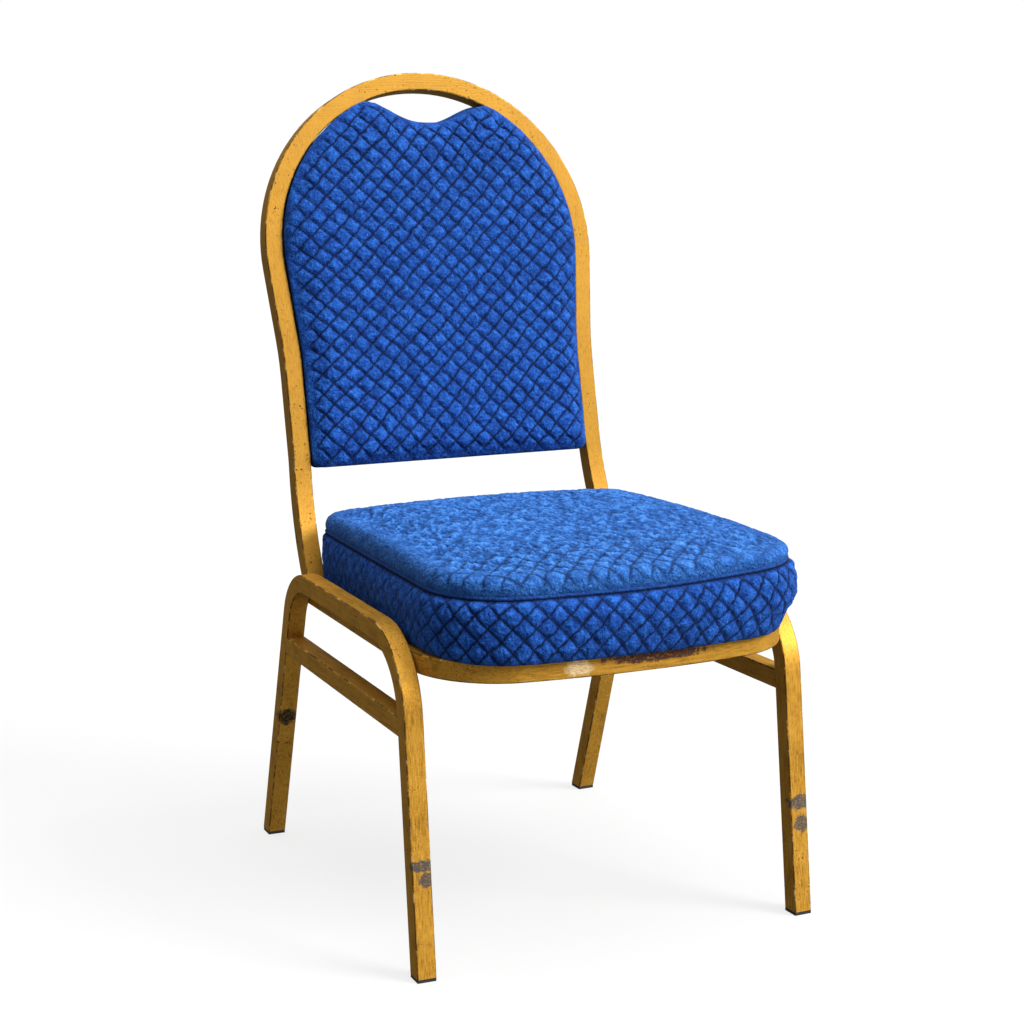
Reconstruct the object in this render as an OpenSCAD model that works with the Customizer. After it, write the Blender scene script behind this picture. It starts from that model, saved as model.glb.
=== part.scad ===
// Stacking banquet chair: a bent square-tube steel frame with an upholstered seat and back.
// The front is -Y, the back is +Y, the left is -X, and the floor is z = 0.
// Every tube is one run of straights and bends, drawn by run().

/* [Tube] */
// Outside width of the square tube
tube = 22; // [21:0.5:23]
// Wall thickness of the tube
wall = 1.5; // [1:0.1:2]
// Outside corner radius of the tube
tube_r = 2; // [2:0.5:3.5]

/* [Leg frames] */
// Height of the top of the leg frames
rail_top = 365; // [355:1:375]
// Half of the overall width, halfway along the leg frames
half_w = 236.4; // [230:0.1:240]
// Angle by which each leg frame toes in towards the rear
toe = 1.445; // [0.5:0.005:2]
// Lean of the front legs
front_lean = 6.84; // [5:0.01:9]
// Lean of the rear legs
rear_lean = 18.55; // [16:0.01:20]
// Place of the front leg's centre line at the floor
front_foot_y = -258.4; // [-270:0.1:-245]
// Place of the rear leg's centre line at the floor
rear_foot_y = 264; // [255:0.1:270]
// Centre-line radius of the front bend
front_bend_r = 87; // [70:1:95]
// Centre-line radius of the rear bend
rear_bend_r = 70; // [55:1:85]
// Height of the side braces' top
brace_top = 277; // [260:1:290]
// Thickness of the glides under the legs
glide_h = 4; // [3:0.5:6]

/* [Seat] */
// Height of the seat rail's top
seat_rail_top = 342; // [340:0.5:343]
// Front face of the seat rail
seat_front_y = -303.5; // [-306:0.1:-300]
// Centre-line radius of the rail's front corners
rail_corner_r = 90; // [80:1:95]
// Centre-line radius of the slightly bowed front of the rail
rail_bow_r = 920; // [800:10:950]
// Angle through which half of the front bows
rail_bow = 7.5; // [5:0.5:8]
// Thickness of the plywood seat board
board_t = 12; // [9:1:14]
// Height of the seam between the side band and the top of the cushion
welt_z = 409; // [405:1:412]
// Height of the cushion's top
cushion_top = 434; // [428:1:436]
// Half width of the cushion near the front
cushion_front_w = 214; // [208:0.5:215]
// Half width of the cushion near the rear
cushion_rear_w = 208; // [202:0.5:209]
// Swell of the cushion's sides above the leg frames
cushion_bulge = 12; // [6:0.5:12]

/* [Back] */
// Height of the top of the hoop
chair_h = 945; // [930:1:960]
// Recline of the back from the vertical
recline = 12.8; // [12:0.1:13.5]
// Outside radius of the hoop's round top
hoop_r = 217; // [216:0.5:218]
// Place of the hoop's front face at its top
hoop_front_y = 299; // [298:0.5:300]
// Angle by which the hoop's sides draw in below its round top
hoop_taper = 5.2; // [4.8:0.1:5.4]
// Angle by which the lower part of the hoop bends forward
hoop_kick = 23; // [22:0.5:23.5]
// Height of the back pad's lower edge
pad_bottom_z = 475; // [470:1:485]
// Height of the pad's upper edge at the middle of the handle gap
handle_dip_z = 881; // [878:1:888]
// Half width of the handle gap
handle_half = 83; // [75:1:88]

/* [Hidden] */
$fn = 64;

gold = [0.78, 0.56, 0.22];
blue = [0.13, 0.32, 0.70];
foam_colour = [0.93, 0.88, 0.72];
plywood = [0.76, 0.60, 0.40];
black = [0.08, 0.08, 0.09];
zinc = [0.70, 0.71, 0.73];

half = tube / 2;
bore = tube - 2 * wall;
far = 1000;
// Straights reach this far into the bends, whose section is larger by seam, so that they join
lap = 0.5;
seam = 0.01;
// Shortest straight between two bends
short_l = 2;
// A small gap that keeps two separate pieces from sharing a face by accident
gap = 0.3;

// Leg frames, in their own plane: distances along Y at a height z
leg_w_front = half / cos(front_lean);
leg_w_rear = half / cos(rear_lean);
rail_z = rail_top - half;
front_turn = 90 - front_lean;
rear_turn = 90 - rear_lean;
front_corner_y = front_foot_y + rail_z * tan(front_lean);
rear_corner_y = rear_foot_y - rail_z * tan(rear_lean);
front_tangent = front_bend_r * tan(front_turn / 2);
rear_tangent = rear_bend_r * tan(rear_turn / 2);
leg_steps = [
    [rail_z / cos(front_lean) - front_tangent, front_bend_r, front_turn, 0],
    [rear_corner_y - front_corner_y - front_tangent - rear_tangent, rear_bend_r, rear_turn, 0],
    [rail_z / cos(rear_lean) - rear_tangent, 0, 0, 0],
];

// Inside face of a leg frame at a given Y
function leg_inside(y) = half_w - tube / cos(toe) - y * tan(toe);

// Seat rail: centre line of one half, from the middle of the front to the rear end
seat_rail_z = seat_rail_top - half;
seat_rail_y = seat_front_y + half;
rail_end_y = rear_foot_y + leg_w_rear - seat_rail_z * tan(rear_lean);
rail_turned = 90 + toe;
rail_corner_x = rail_bow_r * sin(rail_bow) + short_l * cos(rail_bow)
    + rail_corner_r * (sin(rail_turned) - sin(rail_bow));
rail_corner_y = seat_rail_y + rail_bow_r * (1 - cos(rail_bow)) + short_l * sin(rail_bow)
    + rail_corner_r * (cos(rail_bow) - cos(rail_turned));
rail_flat = leg_inside(rail_corner_y) - half / cos(toe) - rail_corner_x;
rail_side_l = (rail_end_y - rail_corner_y) / cos(toe);
rail_steps = [
    [rail_flat, rail_bow_r, rail_bow, 0],
    [short_l, rail_corner_r, rail_turned - rail_bow, 0],
    [rail_side_l, 0, 0, 0],
];

// Cushion outline: front and rear lines, and the four rounded corners
cushion_front_y = -307.5;
cushion_rear_y = 152;
cushion_front_r = 96;
cushion_rear_r = 74;
cushion_bow = 7;
corner_parts = 8;
dust_t = 0.6;
board_z = seat_rail_top + dust_t;
board_top = board_z + board_t;
cover_t = 2;
piping_w = 5;
// Below this height the cushion is narrow enough to sit down between the leg frames
ledge_z = rail_top + 2;
low_inset = 3;
top_inset = 2;
piping_low = welt_z - piping_w / 2;
piping_high = welt_z + piping_w / 2;

// Seat fixings: M6 screws through the support bars into tee nuts
bar_w = 30;
bar_t = 3;
front_bar_y = -144;
rear_bar_y = 68;
screw_x = 130;
screw_r = 3;
screw_head_r = 6;
screw_head_h = 3.6;
washer_r = 8;
washer_t = 1.5;
screw_reach = 11;
screw_gap = 0.05;
tee_flange_r = 9.5;
tee_flange_t = 1.4;
tee_barrel_r = 4;
seat_screw_places = [
    for (y = [front_bar_y, rear_bar_y], x = [-screw_x, screw_x]) [x, y]
];

// Hoop: its own plane leans back by recline, with the origin at the centre of the round top
hoop_line_r = hoop_r - half;
hoop_centre_z = chair_h - hoop_r * cos(recline);
hoop_centre_y = hoop_front_y - (chair_h - hoop_centre_z) * tan(recline);
ease_r = 500;
side_in = 10.8;
taper_l = (side_in - (hoop_r + ease_r - half) * (1 - cos(hoop_taper))) / sin(hoop_taper);
straight_l = 99;
flare_r = 250;
flare = 2.4;
kick_r = 330;
lower_l = 45;
hoop_steps = [
    [short_l / 2, hoop_line_r, 90 + hoop_taper, 0],
    [taper_l, ease_r, hoop_taper, 180],
    [straight_l, flare_r, flare, 180],
    [short_l, kick_r, hoop_kick, -90],
    [lower_l, 0, 0, 0],
];

// Back pad: layers measured forwards from the hoop's front face
pad_front = 10;
pad_rear = -14;
pad_board_t = 6;
pad_edge_gap = 0.4;
rear_tray_back = -24;
handle_rise = 25;
handle_ease = 1.4;
handle_parts = 12;
arc_parts = 14;
ease_parts = 3;
pad_corner_r = 9;
pad_bottom_v = (pad_bottom_z - hoop_centre_z) / cos(recline);
handle_dip_v = (handle_dip_z - hoop_centre_z) / cos(recline);
tab_t = 3;
tab_w = 22;
tab_l = 30;
tab_hole_r = 2.7;
back_screw_r = 2.5;
back_screw_head_r = 4.6;
back_screw_head_h = 2.6;
tab_places = [for (v = [40, -200], side = [-1, 1]) [side, v]];

// Glides
plug_h = 16;
plug_gap = 0.2;

// ---------------------------------------------------------------- tubes

// Square with rounded corners
module soft_square(w, r) {
    square([w - 2 * r, w], center = true);
    square([w, w - 2 * r], center = true);
    for (x = [-1, 1], y = [-1, 1])
        translate([x * (w / 2 - r), y * (w / 2 - r)]) circle(r);
}

// Cross-section of the tube, grown on both faces of its wall
module section(grow = 0) {
    difference() {
        soft_square(tube + 2 * grow, tube_r + grow);
        soft_square(bore - 2 * grow, tube_r - wall - grow);
    }
}

// Tube that starts at the origin along +Z. Each step is a straight, then a bend:
// [length, bend radius, bend angle, direction of the bend round the tube's axis]
module run(steps, i = 0) {
    if (i < len(steps)) {
        straight = steps[i][0];
        bend_r = steps[i][1];
        bend_a = steps[i][2];
        way = steps[i][3];
        before = i > 0 ? lap : 0;
        after = i < len(steps) - 1 ? lap : 0;
        translate([0, 0, -before]) linear_extrude(straight + before + after) section();
        translate([0, 0, straight]) rotate(way) {
            if (bend_a > 0)
                translate([bend_r, 0, 0]) rotate([90, 0, 0]) rotate(180 - bend_a)
                    rotate_extrude(angle = bend_a, $fn = 180) translate([bend_r, 0]) section(seam);
            translate([bend_r, 0, 0]) rotate([0, bend_a, 0]) translate([-bend_r, 0, 0])
                rotate(-way) run(steps, i + 1);
        }
    }
}

// Straight tube along +X, centred
module bar_along_x(length) {
    rotate([0, 90, 0]) linear_extrude(length, center = true) section();
}

// ---------------------------------------------------------------- leg frames

// Places its children in the plane of the right leg frame: x = 0 is the tube's centre line
module in_right_plane() {
    translate([half_w - half / cos(toe), 0, 0]) rotate(toe) children();
}

module leg_frame() {
    color(gold) in_right_plane() difference() {
        translate([0, front_foot_y, 0]) rotate(90) rotate([0, front_lean, 0]) run(leg_steps);
        translate([-far / 2, -far / 2, glide_h - far]) cube(far);
    }
}

// The brace's ends are cut to the lean of the legs that they are welded to
module side_brace() {
    z = brace_top - half;
    low = brace_top - tube;
    front_face = front_foot_y + leg_w_front;
    rear_face = rear_foot_y - leg_w_rear;
    ends = [
        [front_face + low * tan(front_lean), low],
        [front_face + brace_top * tan(front_lean), brace_top],
        [rear_face - brace_top * tan(rear_lean), brace_top],
        [rear_face - low * tan(rear_lean), low],
    ];
    color(gold) in_right_plane() intersection() {
        translate([0, 0, z]) rotate(90) bar_along_x(far);
        rotate([90, 0, 90]) linear_extrude(2 * tube, center = true) polygon(ends);
    }
}

// Cap under a leg, with a plug inside the tube
module glide(foot_y, lean) {
    place = foot_y + glide_h * tan(lean);
    plug = bore - 2 * plug_gap;
    color(black) in_right_plane() {
        translate([0, place, 0]) linear_extrude(glide_h)
            square([tube - 1, tube - 1], center = true);
        intersection() {
            translate([0, foot_y, 0]) rotate([-lean, 0, 0])
                linear_extrude(plug_h + glide_h) square(plug - 1, center = true);
            translate([-tube, foot_y - far / 2, glide_h]) cube([2 * tube, far, far]);
        }
    }
}

module leg_frame_left() { mirror([1, 0, 0]) leg_frame(); }
module leg_frame_right() { leg_frame(); }
module side_brace_left() { mirror([1, 0, 0]) side_brace(); }
module side_brace_right() { side_brace(); }
module glide_front_left() { mirror([1, 0, 0]) glide(front_foot_y, front_lean); }
module glide_front_right() { glide(front_foot_y, front_lean); }
module glide_rear_left() { mirror([1, 0, 0]) glide(rear_foot_y, -rear_lean); }
module glide_rear_right() { glide(rear_foot_y, -rear_lean); }

// ---------------------------------------------------------------- seat frame

module seat_rail() {
    color(gold) translate([0, seat_rail_y, seat_rail_z])
        for (side = [0, 1]) mirror([side, 0, 0]) rotate([90, 0, 90]) run(rail_steps);
}

module rear_cross_rail() {
    y = rail_end_y - half - gap;
    length = 2 * (leg_inside(y + half) - tube / cos(toe) - gap);
    color(gold) translate([0, y, seat_rail_z]) bar_along_x(length);
}

// Flat bar across the seat rail, drilled for the two seat screws
module support_bar(y) {
    length = 2 * (leg_inside(y + bar_w / 2) - tube / cos(toe) - gap);
    color(gold) translate([0, y, seat_rail_top - bar_t]) difference() {
        translate([-length / 2, -bar_w / 2, 0]) cube([length, bar_w, bar_t]);
        for (x = [-screw_x, screw_x])
            translate([x, 0, -1]) cylinder(r = screw_r + 0.3, h = bar_t + 2);
    }
}

module front_support_bar() { support_bar(front_bar_y); }
module rear_support_bar() { support_bar(rear_bar_y); }

// ---------------------------------------------------------------- seat

// Points of one rounded corner, from one heading to another
function corner(x, y, r, from, to) = [
    for (i = [0:corner_parts])
        let (a = from + (to - from) * i / corner_parts) [x + r * cos(a), y + r * sin(a)]
];

// Right half of the cushion's outline, from the middle of the front to the middle of the rear
function cushion_half(inset) =
    let (
        front_x = cushion_front_w - cushion_front_r,
        front_y = cushion_front_y + cushion_bow + cushion_front_r,
        rear_x = cushion_rear_w - cushion_rear_r,
        rear_y = cushion_rear_y - cushion_rear_r
    ) concat(
        [[0, cushion_front_y + inset], [front_x / 2, cushion_front_y + cushion_bow / 4 + inset]],
        corner(front_x, front_y, cushion_front_r - inset, -84, 0),
        corner(rear_x, rear_y, cushion_rear_r - inset, 0, 90)
    );

module cushion_outline(inset = 0) {
    right = cushion_half(inset);
    left = [for (i = [len(right) - 1:-1:1]) [-right[i][0], right[i][1]]];
    polygon(concat(right, left));
}

// Slab of the cushion's outline between two heights
module cushion_slab(low, high, inset) {
    translate([0, 0, low]) linear_extrude(high - low) cushion_outline(inset);
}

module at_seat_screws(z) {
    for (place = seat_screw_places)
        translate([place[0], place[1], z]) children();
}

module seat_dust_cover() {
    color(black) difference() {
        cushion_slab(seat_rail_top, board_z, low_inset + 9);
        at_seat_screws(seat_rail_top - 1) cylinder(r = washer_r, h = dust_t + 2);
    }
}

module seat_board() {
    color(plywood) difference() {
        cushion_slab(board_z, board_top, low_inset + cover_t + gap);
        at_seat_screws(board_z - 1) cylinder(r = tee_barrel_r + screw_gap, h = board_t + 2);
        at_seat_screws(board_top - tee_flange_t) cylinder(r = tee_flange_r + screw_gap, h = board_t);
    }
}

module seat_tee_nuts() {
    color(zinc) at_seat_screws(0) difference() {
        union() {
            translate([0, 0, board_top - tee_flange_t]) cylinder(r = tee_flange_r, h = tee_flange_t);
            translate([0, 0, board_z + 2]) cylinder(r = tee_barrel_r, h = board_t - 2 - tee_flange_t / 2);
        }
        translate([0, 0, board_z]) cylinder(r = screw_r + screw_gap, h = board_t + 1);
    }
}

module seat_screws() {
    head_z = seat_rail_top - bar_t - washer_t - screw_head_h;
    shank_l = screw_head_h + washer_t + bar_t + screw_reach;
    color(zinc) at_seat_screws(head_z) difference() {
        union() {
            cylinder(r = screw_head_r, h = screw_head_h);
            cylinder(r = screw_r, h = shank_l);
        }
        translate([0, 0, -1]) cylinder(r = 2, h = 3, $fn = 6);
    }
}

module seat_washers() {
    color(zinc) at_seat_screws(seat_rail_top - bar_t - washer_t) difference() {
        cylinder(r = washer_r, h = washer_t);
        translate([0, 0, -1]) cylinder(r = screw_r + 0.3, h = washer_t + 2);
    }
}

// The foam fills the space inside the covers, in three steps
module seat_foam() {
    skin = cover_t + gap;
    color(foam_colour) {
        cushion_slab(board_top, ledge_z + skin, low_inset + skin);
        cushion_slab(ledge_z + skin, piping_low - skin, skin - cushion_bulge);
        cushion_slab(piping_low - skin, cushion_top - skin, top_inset + skin);
    }
}

// Side band: a narrow foot between the leg frames, then the swollen side with its top turned in
module seat_cover_band() {
    color(blue) difference() {
        union() {
            cushion_slab(seat_rail_top, ledge_z, low_inset);
            cushion_slab(ledge_z, piping_low, -cushion_bulge);
        }
        cushion_slab(seat_rail_top - 1, ledge_z + cover_t, low_inset + cover_t);
        cushion_slab(ledge_z + cover_t, piping_low - cover_t, cover_t - cushion_bulge);
        cushion_slab(piping_low - 2 * cover_t, piping_high, top_inset + cover_t);
    }
}

module seat_piping() {
    color(blue) difference() {
        cushion_slab(piping_low, piping_high, top_inset - 1);
        cushion_slab(piping_low - 1, piping_high + 1, top_inset + cover_t);
    }
}

module seat_cover_top() {
    color(blue) difference() {
        cushion_slab(piping_high, cushion_top, top_inset);
        cushion_slab(piping_low, cushion_top - cover_t, top_inset + cover_t);
    }
}

// ---------------------------------------------------------------- back

// Places its children on the hoop's front face: x across, y up the slope, z forwards
module on_hoop_face() {
    translate([0, hoop_centre_y, hoop_centre_z]) rotate([90 - recline, 0, 0]) children();
}

// The uprights are cut level, where they stand on the seat rail
module back_hoop() {
    color(gold) difference() {
        on_hoop_face() translate([0, hoop_line_r, -half])
            for (side = [0, 1]) mirror([side, 0, 0]) rotate([-90, 0, 0]) rotate([0, 90, 0])
                run(hoop_steps);
        translate([-far / 2, -far / 2, seat_rail_top - far]) cube(far);
    }
}

// Upper edge of the pad below the handle gap: a smooth dip
function handle_edge(x, inset) =
    handle_dip_v - inset + handle_rise * pow((1 - cos(180 * x / handle_half)) / 2, handle_ease);

// Right half of the pad's outline, from the middle of the dip down to the bottom edge.
// It runs beside the hoop's inner face: the round top, the taper and the eased lower bend.
function pad_half(inset) =
    let (
        r = hoop_r - tube - pad_edge_gap - inset,
        tip_a = acos((handle_half + inset) / r),
        arc_end = [r * cos(hoop_taper), -r * sin(hoop_taper)],
        taper_end = arc_end - taper_l * [sin(hoop_taper), cos(hoop_taper)],
        face_r = ease_r + half + pad_edge_gap + inset,
        ease_centre = taper_end + face_r * [cos(hoop_taper), -sin(hoop_taper)],
        low = pad_bottom_v + inset,
        side_x = ease_centre[0] - face_r,
        corner_r = pad_corner_r
    ) concat(
        [for (i = [0:handle_parts]) let (x = handle_half * i / handle_parts) [x, handle_edge(x, inset)]],
        [for (i = [1:arc_parts]) let (a = tip_a - (tip_a + hoop_taper) * i / arc_parts) [r * cos(a), r * sin(a)]],
        [for (i = [0:ease_parts]) let (a = hoop_taper * (1 - i / ease_parts))
            ease_centre + face_r * [-cos(a), sin(a)]],
        [for (a = [0, -30, -60, -90]) [side_x - corner_r + corner_r * cos(a), low + corner_r + corner_r * sin(a)]]
    );

module pad_outline(inset = 0) {
    right = pad_half(inset);
    left = [for (i = [len(right) - 1:-1:1]) [-right[i][0], right[i][1]]];
    polygon(concat(right, left));
}

// Slab of the pad's outline between two distances from the hoop's front face
module pad_slab(low, high, inset) {
    translate([0, 0, low]) linear_extrude(high - low) pad_outline(inset);
}

// Places its children at the four tabs, with +X pointing away from the nearest upright
module at_tabs() {
    for (place = tab_places) {
        tab_x = place[1] > 0 ? sqrt(pow(hoop_r - tube, 2) - pow(place[1] + tab_w / 2, 2)) : hoop_r - tube - side_in;
        mirror([place[0] > 0 ? 1 : 0, 0, 0]) translate([-tab_x, place[1], 0]) children();
    }
}

module back_board() {
    color(plywood) on_hoop_face() difference() {
        pad_slab(pad_rear, pad_rear + pad_board_t, cover_t + gap);
        at_tabs() translate([tab_l * 2 / 3, 0, pad_rear - 1])
            cylinder(r = back_screw_r + screw_gap, h = pad_board_t + 2);
    }
}

// Plates welded to the inside of the hoop, behind the board
module back_tabs() {
    color(gold) on_hoop_face() at_tabs() difference() {
        translate([gap, -tab_w / 2, pad_rear - tab_t]) cube([tab_l, tab_w, tab_t]);
        translate([tab_l * 2 / 3, 0, pad_rear - tab_t - 1]) cylinder(r = tab_hole_r, h = tab_t + 2);
    }
}

module back_screws() {
    color(zinc) on_hoop_face() at_tabs() translate([tab_l * 2 / 3, 0, pad_rear - tab_t - back_screw_head_h]) {
        cylinder(r = back_screw_head_r, h = back_screw_head_h);
        cylinder(r = back_screw_r, h = back_screw_head_h + tab_t + pad_board_t - 1);
    }
}

module back_foam() {
    color(foam_colour) on_hoop_face()
        pad_slab(pad_rear + pad_board_t, pad_front - cover_t, cover_t + gap);
}

module back_cover_front() {
    color(blue) on_hoop_face() difference() {
        pad_slab(pad_rear, pad_front, 0);
        pad_slab(pad_rear - 1, pad_front - cover_t, cover_t);
    }
}

// Shallow tray that closes the back and covers the tabs, with slots in its rim for them
module back_cover_rear() {
    color(blue) on_hoop_face() difference() {
        pad_slab(rear_tray_back, pad_rear, 0);
        pad_slab(rear_tray_back + cover_t, pad_rear + 1, cover_t);
        at_tabs() translate([-tab_l, -tab_w / 2 - gap, pad_rear - tab_t - gap])
            cube([2 * tab_l, tab_w + 2 * gap, tab_t + 2]);
    }
}

back_hoop();
leg_frame_left();
leg_frame_right();
side_brace_left();
side_brace_right();
seat_rail();
rear_cross_rail();
front_support_bar();
rear_support_bar();
seat_board();
seat_tee_nuts();
seat_screws();
seat_washers();
seat_dust_cover();
seat_foam();
seat_cover_band();
seat_cover_top();
seat_piping();
back_board();
back_tabs();
back_screws();
back_foam();
back_cover_front();
back_cover_rear();
glide_front_left();
glide_front_right();
glide_rear_left();
glide_rear_right();
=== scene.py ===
import math

import bpy
import numpy as np
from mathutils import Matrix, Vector


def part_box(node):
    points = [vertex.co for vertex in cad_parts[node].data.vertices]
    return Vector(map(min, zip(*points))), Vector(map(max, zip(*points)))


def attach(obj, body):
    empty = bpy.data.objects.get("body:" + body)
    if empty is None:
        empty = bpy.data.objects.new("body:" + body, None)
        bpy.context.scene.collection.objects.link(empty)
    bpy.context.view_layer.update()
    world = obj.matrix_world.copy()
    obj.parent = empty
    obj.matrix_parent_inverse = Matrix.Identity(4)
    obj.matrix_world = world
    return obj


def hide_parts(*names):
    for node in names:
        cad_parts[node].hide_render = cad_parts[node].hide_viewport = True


# Stacking banquet chair: upholstery, weld beads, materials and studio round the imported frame.
# Metres. The front is -Y, the left is -X, and the floor is z = 0.

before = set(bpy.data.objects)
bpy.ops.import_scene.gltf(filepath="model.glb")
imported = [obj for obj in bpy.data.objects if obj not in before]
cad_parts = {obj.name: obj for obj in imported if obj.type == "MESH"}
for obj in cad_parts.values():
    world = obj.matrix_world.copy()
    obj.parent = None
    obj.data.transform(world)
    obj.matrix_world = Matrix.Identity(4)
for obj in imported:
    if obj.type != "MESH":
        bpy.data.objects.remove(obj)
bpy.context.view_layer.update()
scene = bpy.context.scene

# ------------------------ numbers shared with the CAD

RECLINE = math.radians(12.8)     # lean of the hoop from upright
CHAIR_H = 0.945
HOOP_R = 0.217                   # outer radius of the hoop's round top
HOOP_FRONT_Y = 0.299             # front face of the hoop at its top
HOOP_TAPER = math.radians(5.2)   # how far the uprights come in towards the seat
TUBE = 0.022
SEAT_RAIL_TOP = 0.342
WELT_Z = 0.409                   # seam between the cushion's band and its top

# Finish of the covers
QUILT = 0.025                    # diagonal of one diamond
SUBDIVISIONS = 2
# How far the quilting and the creases wander: amount and size of each layer of noise
SEAT_WANDER = ((0.0016, 0.030), (0.0011, 0.009), (0.0007, 0.004))
PAD_WANDER = ((0.0020, 0.032), (0.0012, 0.009), (0.0007, 0.004))


# ------------------------ mesh helpers

def make_object(name, verts, faces, attributes=None):
    """A mesh object from arrays, with float-vector point attributes."""
    mesh = bpy.data.meshes.new(name)
    mesh.from_pydata([tuple(v) for v in verts], [], [tuple(int(i) for i in f) for f in faces])
    for key, values in (attributes or {}).items():
        layer = mesh.attributes.new(key, "FLOAT_VECTOR", "POINT")
        layer.data.foreach_set("vector", np.asarray(values, np.float32).ravel())
    mesh.validate()
    mesh.update()
    mesh.shade_smooth()
    obj = bpy.data.objects.new(name, mesh)
    scene.collection.objects.link(obj)
    return obj


def points(mesh):
    co = np.zeros(len(mesh.vertices) * 3, np.float32)
    mesh.vertices.foreach_get("co", co)
    return co.reshape(-1, 3).astype(float)


def normals(mesh):
    co = np.zeros(len(mesh.vertices) * 3, np.float32)
    mesh.vertex_normals.foreach_get("vector", co)
    return co.reshape(-1, 3).astype(float)


def read_attribute(mesh, key):
    layer = mesh.attributes[key]
    values = np.zeros(len(layer.data) * 3, np.float32)
    layer.data.foreach_get("vector", values)
    return values.reshape(-1, 3).astype(float)


def set_points(mesh, co):
    mesh.vertices.foreach_set("co", np.asarray(co, np.float32).ravel())
    mesh.update()


def baked(obj):
    """Applies the object's modifiers to its mesh."""
    graph = bpy.context.evaluated_depsgraph_get()
    mesh = bpy.data.meshes.new_from_object(obj.evaluated_get(graph))
    obj.modifiers.clear()
    obj.data = mesh
    return obj


def subdivide(obj, levels):
    modifier = obj.modifiers.new("subdivision", "SUBSURF")
    modifier.levels = modifier.render_levels = levels
    return baked(obj)


def grid_faces(rows, columns, start=0, wrap=False):
    """Quads of a grid of points stored row by row."""
    faces = []
    last = columns if wrap else columns - 1
    for i in range(rows - 1):
        for j in range(last):
            k = (j + 1) % columns
            faces.append((start + i * columns + j, start + i * columns + k,
                          start + (i + 1) * columns + k, start + (i + 1) * columns + j))
    return faces


def resample(line, places):
    """Points of a polyline at shares of its length."""
    line = np.asarray(line, float)
    steps = np.linalg.norm(np.diff(line, axis=0), axis=1)
    along = np.concatenate([[0], np.cumsum(steps)]) / steps.sum()
    return np.stack([np.interp(places, along, line[:, k]) for k in range(line.shape[1])], axis=1)


def crowded(count, amount):
    """Shares from 0 to 1 that lie closer together near both ends."""
    t = np.linspace(0, 1, count)
    return t - amount * np.sin(2 * np.pi * t)


def coons(bottom, right, top, left, us, vs):
    """Patch between four sides. Rows run along v, from the bottom side to the top side."""
    b, t = resample(bottom, us), resample(top, us)
    l, r = resample(left, vs), resample(right, vs)
    u, v = us[None, :, None], vs[:, None, None]
    corners = ((1 - u) * (1 - v) * b[0] + u * (1 - v) * b[-1] + (1 - u) * v * t[0] + u * v * t[-1])
    return (1 - v) * b[None] + v * t[None] + (1 - u) * l[:, None] + u * r[:, None] - corners


def edge_outward(flat, outline):
    """Distance of each point from a closed anticlockwise outline, and the outward direction there."""
    best = np.full(len(flat), 1e9)
    out = np.zeros((len(flat), 2))
    for a, b in zip(outline, np.roll(outline, -1, axis=0)):
        d = b - a
        length = np.linalg.norm(d)
        if length < 1e-9:
            continue
        share = np.clip(((flat - a) @ d) / (d @ d), 0, 1)
        away = np.linalg.norm(flat - a - share[:, None] * d, axis=1)
        nearer = away < best - 1e-9
        best = np.where(nearer, away, best)
        out[nearer] = (d[1] / length, -d[0] / length)
    return best, out


def rolled_edge(flat, d, out, radius, start, depth, reach):
    """Turns the edge zone of a flat panel over a rounded shoulder that bulges past its seam.
    Returns the moved points and the height above the seam."""
    share = np.clip(d / depth, 0, 1)
    angle = math.radians(start) + (math.pi / 2 - math.radians(start)) * share
    first = radius * math.cos(math.radians(start))
    inset = np.where(d < depth, first - radius * np.cos(angle),
                     d - (depth - first) * (1 - smoothstep(d, depth, reach)))
    height = radius * (np.sin(angle) - math.sin(math.radians(start)))
    return flat + out * (d - inset)[:, None], height


def lattice_noise(p, size, seed):
    """Smooth value noise from -1 to 1, one value a point."""
    table = np.random.default_rng(seed).uniform(-1, 1, 4096)
    q = np.asarray(p, float) / size
    cell = np.floor(q).astype(np.int64)
    f = q - cell
    f = f * f * (3 - 2 * f)
    total = np.zeros(len(q))
    for dx in (0, 1):
        for dy in (0, 1):
            for dz in (0, 1):
                key = ((cell[:, 0] + dx) * 73856093 ^ (cell[:, 1] + dy) * 19349663
                       ^ (cell[:, 2] + dz) * 83492791) & 4095
                weight = (np.where(dx, f[:, 0], 1 - f[:, 0]) * np.where(dy, f[:, 1], 1 - f[:, 1])
                          * np.where(dz, f[:, 2], 1 - f[:, 2]))
                total += weight * table[key]
    return total


def meander(co, layers, seeds):
    """Layers of noise added up, one seed for each."""
    total = 0.0
    for (amount, size), seed in zip(layers, seeds):
        total = total + amount * lattice_noise(co, size, seed)
    return total


def smoothstep(x, low, high):
    t = np.clip((x - low) / (high - low), 0, 1)
    return t * t * (3 - 2 * t)


PUFF_POWER = 0.55
GROOVE_WIDTH = 0.080


def quilted(a, b, period_a, period_b):
    """Diamond quilting: how far each point puffs out (0 to 1) and how deep it is in a groove (0 to 1)."""
    u, v = a / period_a + b / period_b, a / period_a - b / period_b
    du, dv = np.abs(u - np.round(u)), np.abs(v - np.round(v))
    near = np.minimum(du, dv)
    puff = (np.clip(np.sin(np.pi * du), 0, 1) * np.clip(np.sin(np.pi * dv), 0, 1)) ** PUFF_POWER
    groove = np.exp(-(near / GROOVE_WIDTH) ** 2)
    return puff, groove


def set_quilt(obj, groove, puff, crinkle):
    """Stores what the velour's material reads at each point: groove, puff and crinkle, which it paints as shade
    in the grooves and as light and shade on puffs and creases.
    """
    layer = obj.data.attributes.new("quilt", "FLOAT_VECTOR", "POINT")
    layer.data.foreach_set("vector", np.column_stack([groove, puff, crinkle]).astype(np.float32).ravel())


CLOTH_STEPS = 20


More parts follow.
